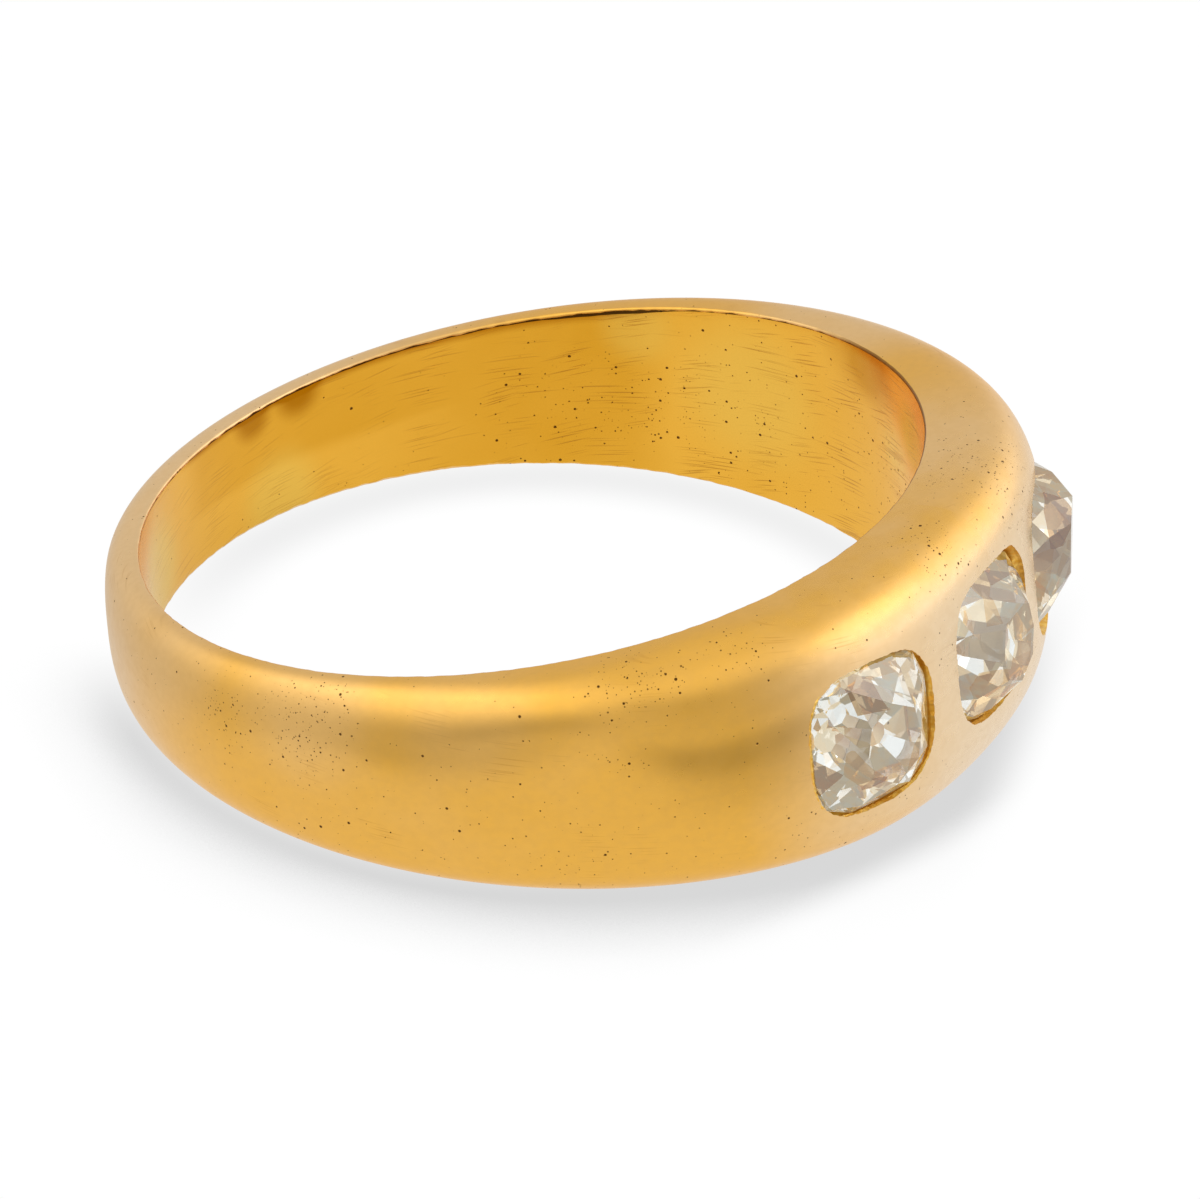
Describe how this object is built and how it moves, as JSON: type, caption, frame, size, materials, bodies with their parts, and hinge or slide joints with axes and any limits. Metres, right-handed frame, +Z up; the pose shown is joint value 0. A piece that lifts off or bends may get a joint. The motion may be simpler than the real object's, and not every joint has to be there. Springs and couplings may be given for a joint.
{
  "type": "flush set gypsy ring",
  "caption": "Gold gypsy ring lying on its side: a slim back swelling into a thick domed head, with old cushion-cut diamonds set flush across it.",
  "frame": {"origin": "where the middle line of the finger hole meets the surface that the ring rests on", "axes": "+X from the finger hole towards the thick head with the stones, +Z up from the surface that the ring rests on"},
  "size_m": [0.0225, 0.021, 0.0065],
  "materials": {
    "gold": "worn satin outside, brushed and polished inside",
    "diamond": "polished facets"
  },
  "bodies": {
    "root": {"band": "gold", "diamond_left": "diamond", "diamond_centre": "diamond", "diamond_right": "diamond"}
  },
  "joints": []
}
